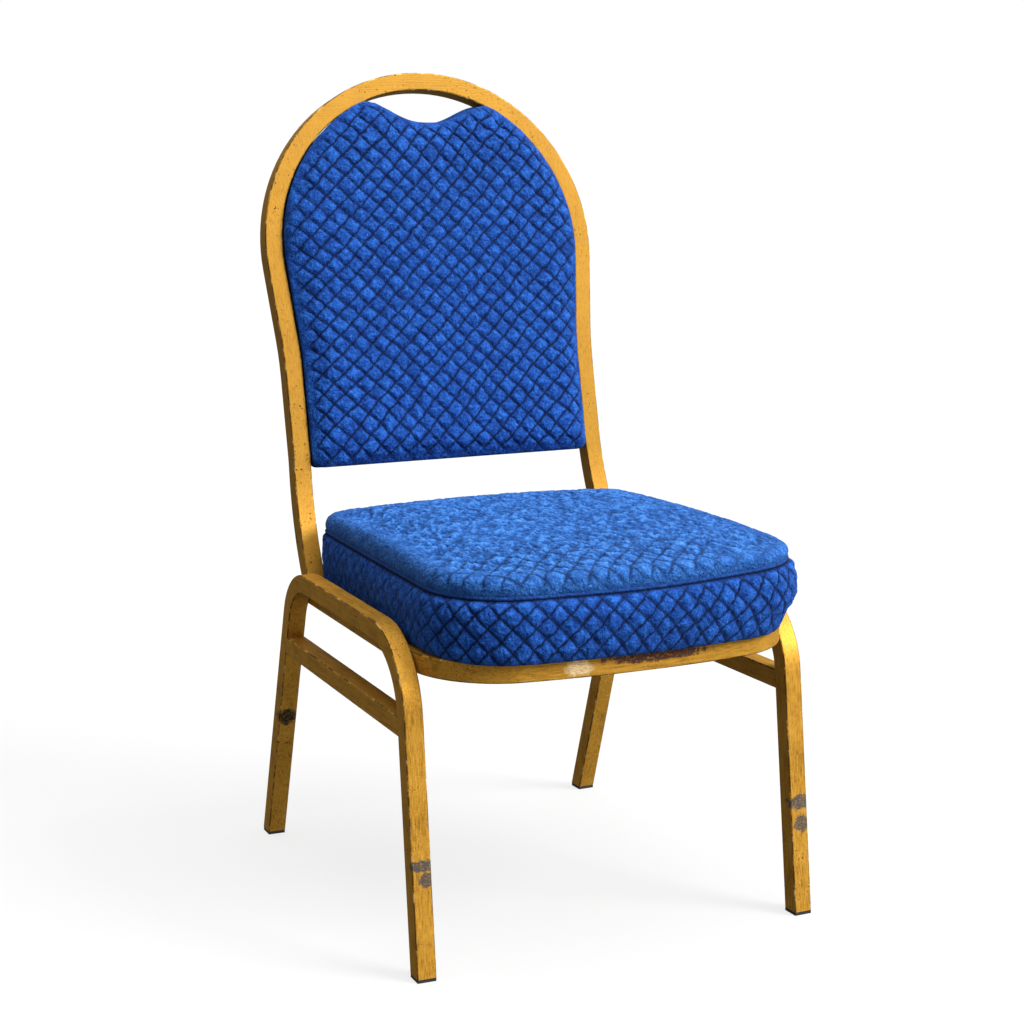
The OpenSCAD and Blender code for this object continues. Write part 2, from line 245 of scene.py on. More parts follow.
def puff_up(obj, pin_name, pressure, cap):
    """Swells a closed mesh as cloth under pressure, held at its pinned points. No point moves more than cap."""
    before = points(obj.data)
    modifier = obj.modifiers.new("Cloth", "CLOTH")
    settings = modifier.settings
    settings.quality = 5
    settings.mass = 0.3
    settings.tension_stiffness = settings.compression_stiffness = 18
    settings.shear_stiffness = 6
    settings.bending_stiffness = 0.6
    settings.use_pressure = True
    settings.uniform_pressure_force = pressure
    settings.vertex_group_mass = pin_name
    settings.effector_weights.gravity = 0
    modifier.collision_settings.use_collision = False
    modifier.point_cache.frame_start, modifier.point_cache.frame_end = 1, CLOTH_STEPS
    for step in range(1, CLOTH_STEPS + 1):
        scene.frame_set(step)
    graph = bpy.context.evaluated_depsgraph_get()
    held = obj.evaluated_get(graph)
    after = points(held.to_mesh())
    held.to_mesh_clear()
    obj.modifiers.clear()
    scene.frame_set(1)
    move = after - before
    size = np.linalg.norm(move, axis=1, keepdims=True)
    return before + move * np.minimum(1, cap / np.maximum(size, 1e-9))


# ------------------------ seat cushion

def arc(x, y, r, start, end, count=24):
    a = np.radians(np.linspace(start, end, count))
    return np.stack([x + r * np.cos(a), y + r * np.sin(a)], axis=1)


# Outline of the cushion: half widths, front and rear, corner radii, and how far the front bows out
FRONT_W, REAR_W = 0.214, 0.202
FRONT_Y, REAR_Y = -0.3075, 0.154
FRONT_R, REAR_R, FRONT_BOW = 0.094, 0.038, 0.007


def cushion_sides(inset):
    """Front, right, rear and left sides of the cushion's outline, from corner middle to corner middle."""
    fx, fy = FRONT_W - FRONT_R, FRONT_Y + FRONT_BOW + FRONT_R
    rx, ry = REAR_W - REAR_R, REAR_Y - REAR_R
    bow = np.stack([np.linspace(0, fx, 12)[:-1],
                    FRONT_Y + inset + FRONT_BOW * (np.linspace(0, 1, 12)[:-1]) ** 2 * 0.93], axis=1)
    half_front = np.concatenate([bow, arc(fx, fy, FRONT_R - inset, -86, -42)])
    right = np.concatenate([arc(fx, fy, FRONT_R - inset, -42, 0), arc(rx, ry, REAR_R - inset, 0, 45)])
    half_rear = arc(rx, ry, REAR_R - inset, 45, 90)
    flip = np.array([-1, 1])
    front = np.concatenate([(half_front * flip)[::-1][:-1], half_front])
    rear = np.concatenate([half_rear, (half_rear * flip)[::-1][1:]])
    left = (right * flip)[::-1]
    return front, right, rear, left


SIDE_STEPS = 72
SIDE_PLACES = crowded(SIDE_STEPS + 1, 0.070)


def cushion_ring(inset):
    """Points all round the cushion's outline, anticlockwise from the left front corner."""
    return np.concatenate([resample(side, SIDE_PLACES)[:-1] for side in cushion_sides(inset)])


# Profile of the band, from its foot on the seat rail to the welt: height, and how far in from the outline
BAND_PROFILE = [
    (0.3424, 0.0110), (0.3424, 0.0050), (0.3455, 0.0015), (0.3510, 0.0000), (0.3570, -0.0010),
    (0.3625, -0.0025), (0.3675, -0.0045), (0.3735, -0.0062), (0.3800, -0.0072), (0.3865, -0.0074),
    (0.3925, -0.0068), (0.3980, -0.0055), (0.4025, -0.0034), (0.4054, 0.0004), (0.4066, 0.0048),
]
BAND_PINNED = 6          # rows held still at the foot
# Shoulder of the top: its radius, the angle at which it leaves the seam, and its width seen from above
TOP_SHOULDER = 0.013
TOP_START = -40
TOP_DEPTH = 0.016
TOP_CROWN = 0.0030
OFF_CENTRE = 0.005       # the stuffing's lean to the right
RIGHT_FULLNESS = 0.006   # how much fuller the right side is
WELT_TILT = 0.006        # how much higher the welt is on the right
FRONT_DROOP = 0.0065     # how far the front hangs out over the rail
SIDE_FLATNESS = 0.85     # share of the bulge that is missing on the left side
DOME = 0.0050            # rise of the middle of the top
SEAT_PRESSURE, SEAT_CAP = 4.0, 0.006


def settled(verts, first_row):
    """The stuffing as it has settled: over to the right, the welt higher there, and the front over the rail."""
    x, y, z = verts.T.copy()
    # Everything above the foot leans to the right, and so does the foot at the left rear
    above_foot = smoothstep(z, 0.352, 0.378)
    free = np.maximum(above_foot, smoothstep(-x, 0.0, 0.15) * smoothstep(y, -0.15, 0.0))
    verts[:, 0] += OFF_CENTRE * free + RIGHT_FULLNESS * smoothstep(x, 0.06, 0.20) * above_foot
    near_welt = smoothstep(z, 0.385, 0.409) * (1 - smoothstep(z, 0.413, 0.432))
    verts[:, 2] += WELT_TILT * smoothstep(x, -0.02, 0.20) * near_welt
    # The band stands straighter on the left, towards the rear
    bulge = -np.interp(z, [row[0] for row in BAND_PROFILE], [row[1] for row in BAND_PROFILE])
    flat_side = smoothstep(-x, 0.12, 0.18) * smoothstep(y, -0.27, -0.05) * (z < WELT_Z)
    verts[:, 0] += SIDE_FLATNESS * np.maximum(bulge, 0) * flat_side
    # The top rises away from its corners, less so at the front
    corner = np.clip((x / 0.20) ** 2 * ((y + 0.075) / 0.20) ** 2, 0, 1)
    rise = DOME * (1 - corner) * (0.3 + 0.7 * smoothstep(y, -0.29, -0.12))
    verts[:, 2] += rise * smoothstep(z, 0.413, 0.430)
    # The front hangs out over the rail and a little down
    low = smoothstep(-y, 0.21, 0.285) * (1 - smoothstep(z, 0.350, 0.385))
    low[:first_row] *= 0.3
    verts[:, 1] -= FRONT_DROOP * low
    verts[first_row:, 2] -= 0.003 * (low * (1 - smoothstep(z, 0.344, 0.358)))[first_row:]


def build_seat():
    """The cushion is one closed body while it is simulated, then a band and a top panel."""
    ring_n = 4 * SIDE_STEPS
    rows = [np.column_stack([cushion_ring(inset), np.full(ring_n, z)]) for z, inset in BAND_PROFILE]
    welt_inset = BAND_PROFILE[-1][1]
    front, right, rear, left = cushion_sides(welt_inset)
    flat = coons(front, right, rear[::-1], left[::-1], SIDE_PLACES, SIDE_PLACES)
    flat = flat.reshape(-1, 2)
    outline = cushion_ring(welt_inset)
    d, out = edge_outward(flat, outline)
    rolled, height = rolled_edge(flat, d, out, TOP_SHOULDER, TOP_START, TOP_DEPTH, 0.10)
    top = np.column_stack([rolled, WELT_Z + height + TOP_CROWN * smoothstep(d, 0.01, 0.2)])
    side = SIDE_STEPS + 1
    index = np.arange(side * side).reshape(side, side)
    border = np.concatenate([index[0, :-1], index[:-1, -1], index[-1, :0:-1], index[:0:-1, 0]])

    # Simulated body: band rows, the top grid without its border, and a fan under the foot
    band_n = len(rows) * ring_n
    verts = np.concatenate(rows + [top, [[0, -0.08, SEAT_RAIL_TOP]]])
    remap = np.arange(len(verts))
    last_row = (len(rows) - 1) * ring_n + np.arange(ring_n)
    remap[band_n + border] = last_row
    verts[last_row, 2] = WELT_Z
    settled(verts, ring_n)
    faces = grid_faces(len(rows), ring_n, 0, wrap=True)
    faces += [tuple(remap[list(f)]) for f in grid_faces(side, side, band_n)]
    centre = len(verts) - 1
    faces += [(centre, (j + 1) % ring_n, j) for j in range(ring_n)]
    used = np.unique(np.concatenate([np.ravel(f) for f in faces]))
    pack = np.full(len(verts), -1)
    pack[used] = np.arange(len(used))
    body = make_object("seat_swell", verts[used], [tuple(pack[list(f)]) for f in faces])
    group = body.vertex_groups.new(name="held")
    pinned = list(range(BAND_PINNED * ring_n)) + list(last_row) + [centre]
    group.add([int(pack[i]) for i in pinned], 1.0, "REPLACE")
    swollen = puff_up(body, "held", SEAT_PRESSURE, SEAT_CAP)
    moved = verts.copy()
    moved[used] = swollen
    # The swell grows from the shoulder inwards, so the rolled edge keeps its shape
    share = np.ones(len(verts))
    share[band_n:band_n + side * side] = smoothstep(d, 0.008, 0.075)
    moved = verts + (moved - verts) * share[:, None]
    moved[band_n + border] = moved[last_row]
    bpy.data.objects.remove(body)

    # Band: its own mesh, with the places that the quilting needs
    band_points = moved[:band_n]
    ring = cushion_ring(-0.006)
    steps = np.linalg.norm(np.roll(ring, -1, axis=0) - ring, axis=1)
    perimeter = steps.sum()
    turn = 2 * np.pi * np.concatenate([[0], np.cumsum(steps)[:-1]]) / perimeter
    profile = np.array([[inset, z] for z, inset in BAND_PROFILE])
    rise = np.concatenate([[0], np.cumsum(np.linalg.norm(np.diff(profile, axis=0), axis=1))])
    place = np.column_stack([np.tile(np.cos(turn), len(rows)), np.tile(np.sin(turn), len(rows)),
                             np.repeat(rise, ring_n)])
    band = make_object("seat_cushion_band", band_points, grid_faces(len(rows), ring_n, 0, wrap=True),
                       {"place": place})
    subdivide(band, SUBDIVISIONS)
    at = read_attribute(band.data, "place")
    along = (np.arctan2(at[:, 1], at[:, 0]) % (2 * np.pi)) / (2 * np.pi) * perimeter
    period = perimeter / round(perimeter / QUILT)
    up = at[:, 2]
    co, no = points(band.data), normals(band.data)
    wander = meander(co, SEAT_WANDER, (3, 13, 23))
    puff, groove = quilted(along + wander, up + 0.004 - wander, period, QUILT)
    fade = smoothstep(up, 0.001, 0.008) * smoothstep(rise[-1] - up, 0.0, 0.008)
    edge = smoothstep(up, 0.008, 0.020)
    upright = co * np.array([1, 1, 0.6])
    crinkle = lattice_noise(co, 0.0060, 4) * 0.5 + lattice_noise(upright, 0.0030, 5) * 0.7
    # Along the sides the quilting is pulled flatter and creased upright
    flank = smoothstep(np.abs(co[:, 0]), 0.165, 0.200) * smoothstep(co[:, 1], -0.275, -0.17)
    puff, groove = puff * (1 - 0.55 * flank), groove * (1 - 0.55 * flank)
    lift = (fade * edge * (0.0019 * puff - 0.0009 * groove)
            + crinkle * (0.00100 * fade * (0.4 + 0.6 * edge) + 0.00006))
    set_points(band.data, co + no * lift[:, None])
    # Painted shadow under the piping: the band's top edge is stored as a groove, so the velour darkens it
    seam = 1 - smoothstep(rise[-1] - up, 0.002, 0.0070)
    set_quilt(band, np.maximum(groove * fade, seam), puff * fade, crinkle)
    close_ring(band, 0.0016)

    # Top panel
    top_points = moved[band_n:band_n + side * side]
    panel = make_object("seat_cushion_top", top_points, grid_faces(side, side),
                        {"place": np.column_stack([flat, d])})
    subdivide(panel, SUBDIVISIONS)
    at = read_attribute(panel.data, "place")
    co, no = points(panel.data), normals(panel.data)
    wander = meander(co, SEAT_WANDER, (6, 16, 26))
    puff, groove = quilted(at[:, 0] + wander, at[:, 1] - wander, QUILT, QUILT)
    # The quilting shows along the front, most on the left, and is crushed into ripples behind
    front_share = (1 - smoothstep(at[:, 1], -0.275, -0.13)) * (1 - 0.7 * smoothstep(at[:, 0], 0.03, 0.15))
    strength = 0.10 + 0.80 * front_share
    fade = smoothstep(at[:, 2], 0.002, 0.010)
    stretched = co * np.array([1.0, 0.62, 1.0])
    crinkle = (lattice_noise(stretched, 0.0090, 8) * 0.22 + lattice_noise(stretched, 0.0046, 9) * 0.50
               + lattice_noise(stretched, 0.0029, 10) * 0.62)
    # Stretched smooth over the shoulder
    stretch = 0.25 + 0.75 * smoothstep(at[:, 2], 0.008, 0.040)
    sharp = np.sign(crinkle) * np.abs(crinkle) ** 0.8 * stretch
    lift = fade * (strength * (0.0017 * puff - 0.0006 * groove) + (0.0022 - 0.0007 * front_share) * sharp)
    set_points(panel.data, co + no * lift[:, None])
    set_quilt(panel, groove * fade * strength, puff * fade * strength, sharp)
    close_under(panel, WELT_Z - 0.004)

    return band, panel, moved[last_row]


def border_loop(mesh):
    """Vertices of an open mesh's border, in order, one list for each loop."""
    count = {}
    for polygon in mesh.polygons:
        for key in polygon.edge_keys:
            count[key] = count.get(key, 0) + 1
    follow = {}
    for polygon in mesh.polygons:
        ids = list(polygon.vertices)
        for a, b in zip(ids, ids[1:] + ids[:1]):
            if count[(min(a, b), max(a, b))] == 1:
                follow[a] = b
    loops = []
    while follow:
        a, b = follow.popitem()
        loop = [a, b]
        while loop[-1] in follow:
            loop.append(follow.pop(loop[-1]))
        loops.append(loop[:-1] if loop[0] == loop[-1] else loop)
    return loops


def extended(obj, new_points, new_faces):
    """Adds points and faces to a mesh, keeping its quilt attribute."""
    mesh = obj.data
    co = points(mesh)
    quilt = read_attribute(mesh, "quilt")
    faces = [tuple(p.vertices) for p in mesh.polygons] + new_faces
    verts = np.concatenate([co, new_points])
    values = np.concatenate([quilt, np.zeros((len(new_points), 3))])
    fresh = make_object(obj.name + "_closed", verts, faces, {"quilt": values})
    obj.data = fresh.data
    bpy.data.objects.remove(fresh)


def close_with(obj, loop, inner, middle):
    """Closes an open panel with a wall from its border to inner, and a fan from there to the middle."""
    n, start = len(loop), len(obj.data.vertices)
    faces = [(loop[(i + 1) % n], loop[i], start + i, start + (i + 1) % n) for i in range(n)]
    faces += [(start + (i + 1) % n, start + i, start + n) for i in range(n)]
    extended(obj, np.concatenate([inner, [middle]]), faces)


def close_under(obj, z):
    """Closes an open panel with a flat underside."""
    loop = max(border_loop(obj.data), key=len)
    inner = points(obj.data)[loop]
    middle = inner.mean(axis=0)
    inner[:, :2] = middle[:2] + (inner[:, :2] - middle[:2]) * 0.99
    inner[:, 2] = z
    close_with(obj, loop, inner, [middle[0], middle[1], z])


def close_ring(obj, thickness):
    """Closes the band with an inner wall between its two borders."""
    co = points(obj.data)
    loops = sorted(border_loop(obj.data), key=lambda loop: co[loop[0], 2])
    low, high = loops[0], loops[-1]
    centre = co[:, :2].mean(axis=0)

    def inside(loop, dz):
        ring = co[loop].copy()
        away = ring[:, :2] - centre
        away /= np.linalg.norm(away, axis=1, keepdims=True)
        ring[:, :2] -= away * 0.004
        ring[:, 2] += dz
        return ring

    a, b = inside(low, thickness), inside(high, -thickness)
    # The loops run in opposite directions, so the second is matched to the first by its nearest point
    b = b[::-1]
    high = high[::-1]
    shift = int(np.argmin(np.linalg.norm(b[:, :2] - a[0, :2], axis=1)))
    b, high = np.roll(b, -shift, axis=0), high[shift:] + high[:shift]
    n, start = len(low), len(co)
    faces = []
    for i in range(n):
        j = (i + 1) % n
        faces.append((low[j], low[i], start + i, start + j))
        faces.append((start + j, start + i, start + n + i, start + n + j))
        faces.append((start + n + j, start + n + i, high[i], high[j]))
    extended(obj, np.concatenate([a, b]), faces)


def tube_along(name, path, radius, sides, closed, wobble, seed):
    """A round tube along a path, a little uneven, like cord in a welt or a bead of weld."""
    path = np.asarray(path, float)
    n = len(path)
    if closed:
        tangent = np.roll(path, -1, axis=0) - np.roll(path, 1, axis=0)
    else:
        tangent = np.gradient(path, axis=0)
    tangent /= np.linalg.norm(tangent, axis=1, keepdims=True)
    up = np.array([0.0, 0.0, 1.0])
    side = np.cross(tangent, up)
    side /= np.maximum(np.linalg.norm(side, axis=1, keepdims=True), 1e-9)
    lift = np.cross(side, tangent)
    angles = np.linspace(0, 2 * np.pi, sides, endpoint=False)
    r = np.full(n, radius) if np.isscalar(radius) else np.asarray(radius)
    rings = (path[:, None] + r[:, None, None] * (np.cos(angles)[None, :, None] * side[:, None]
             + np.sin(angles)[None, :, None] * lift[:, None]))
    verts = rings.reshape(-1, 3)
    out = verts - np.repeat(path, sides, axis=0)
    verts = verts + out * (wobble * lattice_noise(verts, 0.004, seed))[:, None]
    faces = []
    for i in range(n if closed else n - 1):
        k = (i + 1) % n
        for j in range(sides):
            m = (j + 1) % sides
            faces.append((i * sides + j, i * sides + m, k * sides + m, k * sides + j))
    if not closed:
        faces.append(tuple(range(sides))[::-1])
        faces.append(tuple(range((n - 1) * sides, n * sides)))
    return make_object(name, verts, faces)


def build_piping(welt):
    """Covered cord along the welt."""
    steps = 900
    path = resample(np.concatenate([welt, welt[:1]]), np.linspace(0, 1, steps + 1))[:-1]
    centre = path[:, :2].mean(axis=0)
    away = path[:, :2] - centre
    away /= np.linalg.norm(away, axis=1, keepdims=True)
    path = path + np.column_stack([away * 0.0014, np.full(steps, 0.0008)])
    return tube_along("seat_cushion_piping", path, 0.0020, 12, True, 0.10, 21)


# ------------------------ back pad

CENTRE_Z = CHAIR_H - HOOP_R * math.cos(RECLINE)
CENTRE_Y = HOOP_FRONT_Y - (CHAIR_H - CENTRE_Z) * math.tan(RECLINE)
EASE_R = 0.5      # radius of the ease from the taper to the upright
SIDE_IN = 0.0108  # how far each upright comes in below the round top
TAPER_L = (SIDE_IN - (HOOP_R + EASE_R - TUBE / 2) * (1 - math.cos(HOOP_TAPER))) / math.sin(HOOP_TAPER)
PAD_EDGE_GAP = 0.0004
PAD_INSET = 0.0008
# Heights are along the hoop's face, from the centre of its round top
PAD_BOTTOM_V = (0.475 - CENTRE_Z) / math.cos(RECLINE)
HANDLE_DIP_V = 0.1520
PAD_CORNER_R = 0.009
# Each panel's handle dip: its left tip, right tip and lowest place across, the steepness of each side, and how
# much higher it is. The front cover is pulled a little to the right, and the rear one covers the board's edge.
FRONT_HANDLE = (0.0745, 0.0875, 0.0115, 1.6, 1.25, 0.0)
REAR_HANDLE = (0.0810, 0.0810, 0.0, 1.3, 1.3, 0.0025)


def on_hoop_face(across, up, forward):
    """Points given on the hoop's front face, as x, y, z."""
    return np.column_stack([across,
                            CENTRE_Y + up * math.sin(RECLINE) - forward * math.cos(RECLINE),
                            CENTRE_Z + up * math.cos(RECLINE) + forward * math.sin(RECLINE)])


def pad_flank(inset, handle):
    """One side of the pad, from the middle of its bottom corner up to its tip, and the whole bottom corner."""
    r = HOOP_R - TUBE - PAD_EDGE_GAP - inset
    tip = math.acos((handle + inset) / r)
    angles = np.linspace(-HOOP_TAPER, tip, 40)
    round_top = np.stack([r * np.cos(angles), r * np.sin(angles)], axis=1)
    taper_end = round_top[0] - TAPER_L * np.array([math.sin(HOOP_TAPER), math.cos(HOOP_TAPER)])
    face_r = EASE_R + TUBE / 2 + PAD_EDGE_GAP + inset
    centre = taper_end + face_r * np.array([math.cos(HOOP_TAPER), -math.sin(HOOP_TAPER)])
    ease_a = np.linspace(0, HOOP_TAPER, 10)
    ease = np.stack([centre[0] - face_r * np.cos(ease_a), centre[1] + face_r * np.sin(ease_a)], axis=1)
    low = PAD_BOTTOM_V + inset
    corner = arc(ease[0, 0] - PAD_CORNER_R, low + PAD_CORNER_R, PAD_CORNER_R, -90, 0, 9)
    middle = len(corner) // 2
    return np.concatenate([corner[middle:], ease, round_top]), corner[:middle + 1]


def pad_sides(inset, handle):
    """Bottom, right, top and left sides of a panel's outline."""
    flip = np.array([-1, 1])
    left_tip, right_tip, middle, left_power, right_power, raised = handle
    right, corner = pad_flank(inset, right_tip)
    left = pad_flank(inset, left_tip)[0] * flip
    bottom = np.concatenate([(corner * flip)[::-1], corner])
    bottom = bottom[np.argsort(bottom[:, 0])]
    # The dip is a smooth S on each side
    x = np.linspace(left[-1, 0], right[-1, 0], 81)
    low = HANDLE_DIP_V - inset + raised
    reach = np.where(x < middle, middle - left[-1, 0], right[-1, 0] - middle)
    rise = np.where(x < middle, left[-1, 1], right[-1, 1]) - low
    wave = (1 - np.cos(np.pi * np.abs(x - middle) / reach)) / 2
    top = np.stack([x, low + rise * wave ** np.where(x < middle, left_power, right_power)], axis=1)
    return bottom, right, top, left


def pad_outline(inset, handle):
    """All round a panel, anticlockwise from its bottom left corner."""
    bottom, right, top, left = pad_sides(inset, handle)
    return np.concatenate([bottom[:-1], right[:-1], top[::-1][:-1], left[::-1][:-1]])


PAD_ACROSS, PAD_UP = 62, 74   # grid of a panel
PAD_TUCK = 0.985              # how far the flat side is drawn in
PAD_HELD = 0.004              # width of the edge that is held still
PAD_QUILT_SQUASH = 0.96       # height of a diamond for its width


def pad_panel(name, handle, level, profile, pressure, cap):
    """A padded panel on the hoop's face: a patch with a rounded edge, then swollen. Level is where its flat
    side lies while it is simulated, ahead of the hoop's face."""
    front = handle is FRONT_HANDLE
    us, vs = crowded(PAD_ACROSS + 1, 0.05), crowded(PAD_UP + 1, 0.05)
    flat = coons(*pad_sides(PAD_INSET, handle), us, vs)
    shape = flat.shape[:2]
    flat = flat.reshape(-1, 2)
    d, out = edge_outward(flat, pad_outline(PAD_INSET, handle))
    rolled, height = profile(flat, d, out)
    verts = on_hoop_face(rolled[:, 0], rolled[:, 1], height)
    index = np.arange(shape[0] * shape[1]).reshape(shape)
    border = np.concatenate([index[0, :-1], index[:-1, -1], index[-1, :0:-1], index[:0:-1, 0]])
    faces = grid_faces(shape[0], shape[1])
    if not front:
        faces = [f[::-1] for f in faces]
    ring = flat[border] * PAD_TUCK
    back = on_hoop_face(ring[:, 0], ring[:, 1], np.full(len(border), level))
    middle = on_hoop_face(np.array([0.0]), np.array([-0.04]), np.array([level]))
    start, n = len(verts), len(border)
    rim = [(border[(i + 1) % n], border[i], start + i, start + (i + 1) % n) for i in range(n)]
    fan = [(start + (i + 1) % n, start + i, start + n) for i in range(n)]
    if not front:
        rim, fan = [f[::-1] for f in rim], [f[::-1] for f in fan]
    body = make_object(name + "_swell", np.concatenate([verts, back, middle]), faces + rim + fan)
    group = body.vertex_groups.new(name="held")
    held = [int(i) for i in np.nonzero(d < PAD_HELD)[0]] + list(range(start, start + n + 1))
    group.add(held, 1.0, "REPLACE")
    swollen = puff_up(body, "held", pressure, cap)
    bpy.data.objects.remove(body)
    panel = make_object(name, swollen[:start], faces, {"place": np.column_stack([flat, d])})
    return subdivide(panel, SUBDIVISIONS)


def close_behind(obj, shift, taper):
    """Closes a pad panel with a wall behind its border and a flat face there."""
    loop = max(border_loop(obj.data), key=len)
    rim = points(obj.data)[loop]
    middle = rim.mean(axis=0)
    close_with(obj, loop, middle + (rim - middle) * taper + shift, middle + shift)


def front_profile(flat, d, out):
    """The pad's front: rolled over at the edge, past the hoop's inner edge, and crowned in the middle."""
    rolled, height = rolled_edge(flat, d, out, 0.0078, -48, 0.012, 0.08)
    return rolled, -0.0010 + height + 0.0030 * smoothstep(d, 0.006, 0.12)


def rear_profile(flat, d, out):
    """The pad's rear: flat, with a quarter round at its edge."""
    share = np.clip(d / 0.010, 0, 1)
    roll = np.sqrt(np.clip(1 - (1 - share) ** 2, 0, 1))
    return flat, -0.0165 - 0.0065 * roll


def pad_shade(obj):
    """A panel's places, points and normals, and how far its quilting has faded in from the edge."""
    at = read_attribute(obj.data, "place")
    return at, points(obj.data), normals(obj.data), smoothstep(at[:, 2], 0.003, 0.016)


def build_back():
    """The front and rear panels of the back pad. Their walls overlap a little round the board's edge."""
    forward = np.array([0, -math.cos(RECLINE), math.sin(RECLINE)])
    panel = pad_panel("back_pad_front", FRONT_HANDLE, -0.012, front_profile, 4.0, 0.005)
    at, co, no, fade = pad_shade(panel)
    across, up = meander(co, PAD_WANDER, (31, 35, 37)), meander(co, PAD_WANDER, (32, 36, 38))
    puff, groove = quilted(at[:, 0] + across, at[:, 1] + up, QUILT, QUILT * PAD_QUILT_SQUASH)
    crinkle = lattice_noise(co, 0.0062, 33) * 0.5 + lattice_noise(co, 0.0032, 34) * 0.7
    lift = fade * (0.0022 * puff - 0.0010 * groove) + crinkle * (0.00095 * fade + 0.00008)
    set_points(panel.data, co + no * lift[:, None])
    set_quilt(panel, groove * fade, puff * fade, crinkle)
    close_behind(panel, -0.0080 * forward, 0.998)

    rear = pad_panel("back_pad_rear", REAR_HANDLE, -0.015, rear_profile, 2.0, 0.0015)
    at, co, no, fade = pad_shade(rear)
    puff, groove = quilted(at[:, 0], at[:, 1], QUILT, QUILT * PAD_QUILT_SQUASH)
    crinkle = lattice_noise(co, 0.0075, 43) * 0.6 + lattice_noise(co, 0.0036, 44) * 0.4
    lift = fade * (0.0007 * puff - 0.0004 * groove) + crinkle * 0.00022 * fade
    set_points(rear.data, co + no * lift[:, None])
    set_quilt(rear, groove * fade, puff * fade, crinkle)
    close_behind(rear, 0.0090 * forward, 1.0)
    return panel, rear


# ------------------------ weld beads

RIPPLE, RIPPLE_STEP = 0.0032, 0.0007   # length of one ripple, and of one step along it


def bead(name, start, end, radius, seed):
    """A run of overlapping weld ripples between two points."""
    length = np.linalg.norm(end - start)
    n = max(16, int(length / RIPPLE_STEP))
    t = np.linspace(0, 1, n)
    path = start + (end - start) * t[:, None]
    ripple = 1 + 0.22 * np.abs(np.sin(np.pi * t * length / RIPPLE))
    ends = np.sqrt(np.clip(1 - (2 * t - 1) ** 12, 0.05, 1))
    return tube_along(name, path, radius * ripple * ends, 8, False, 0.25, seed)


# ------------------------ materials

class Shader:
    """A material's node tree: n() adds a node, and its inputs take numbers or other nodes' outputs."""

    def __init__(self, name):
        self.material = bpy.data.materials.new(name)
        self.material.use_nodes = True
        self.tree = self.material.node_tree
        self.principled = self.tree.nodes["Principled BSDF"]

    def n(self, kind, inputs=None, **settings):
        node = self.tree.nodes.new(kind)
        for key, value in settings.items():
            setattr(node, key, value)
        for key, value in (inputs or {}).items():
            self.put(node.inputs[key], value)
        return node

    def put(self, socket, value):
        if isinstance(value, bpy.types.NodeSocket):
            self.tree.links.new(value, socket)
        else:
            socket.default_value = value

    def math(self, operation, a, b=0.0, clamp=False):
        return self.n("ShaderNodeMath", {0: a, 1: b}, operation=operation, use_clamp=clamp).outputs[0]

    def ramp(self, value, stops):
        """Colour ramp through (place, grey or colour) stops."""
        node = self.n("ShaderNodeValToRGB", {"Fac": value})
        elements = node.color_ramp.elements
        while len(elements) < len(stops):
            elements.new(0.5)
        for element, (place, colour) in zip(elements, stops):
            element.position = place
            if not hasattr(colour, "__len__"):
                colour = (colour,) * 3
            element.color = (*colour, 1)
        return node.outputs["Color"]

    def mix(self, share, a, b):
        """a where the share is 0, b where it is 1."""
        node = self.n("ShaderNodeMix", {0: share}, data_type="RGBA")
        for socket, value in ((node.inputs[6], a), (node.inputs[7], b)):
            if isinstance(value, (tuple, list)) and len(value) == 3:
                value = (*value, 1)
            self.put(socket, value)
        return node.outputs[2]

    def coords(self, scale):
        place = self.n("ShaderNodeTexCoord").outputs["Object"]
        return self.n("ShaderNodeMapping", {"Vector": place, "Scale": scale}).outputs["Vector"]

    def noise(self, scale, detail=3.0, rough=0.55, stretch=(1, 1, 1)):
        node = self.n("ShaderNodeTexNoise", {"Vector": self.coords(stretch), "Scale": scale,
                                             "Detail": detail, "Roughness": rough})
        return node.outputs["Fac"]

    def bump(self, height, strength, distance, under=None):
        inputs = {"Height": height, "Strength": strength, "Distance": distance}
        if under is not None:
            inputs["Normal"] = under
        return self.n("ShaderNodeBump", inputs).outputs["Normal"]

    def near(self, place, radius, soft=1.0):
        """1 at a place on the object, 0 further away than radius, with a ragged edge."""
        here = self.n("ShaderNodeTexCoord").outputs["Object"]
        away = self.n("ShaderNodeVectorMath", {0: here, 1: place}, operation="SUBTRACT").outputs[0]
        scaled = self.n("ShaderNodeVectorMath", {0: away, 1: tuple(1 / r for r in radius)},
                        operation="MULTIPLY").outputs[0]
        length = self.n("ShaderNodeVectorMath", {0: scaled}, operation="LENGTH").outputs["Value"]
        ragged = self.math("ADD", length, self.math("MULTIPLY", self.noise(160, 4), soft))
        return self.ramp(ragged, [(0.0, 1.0), (0.55 + 0.35 * soft, 1.0), (1.0, 0.0)])


PILE, FINE_PILE, MOTTLE = 420, 1500, 75   # scales of the velour's noises


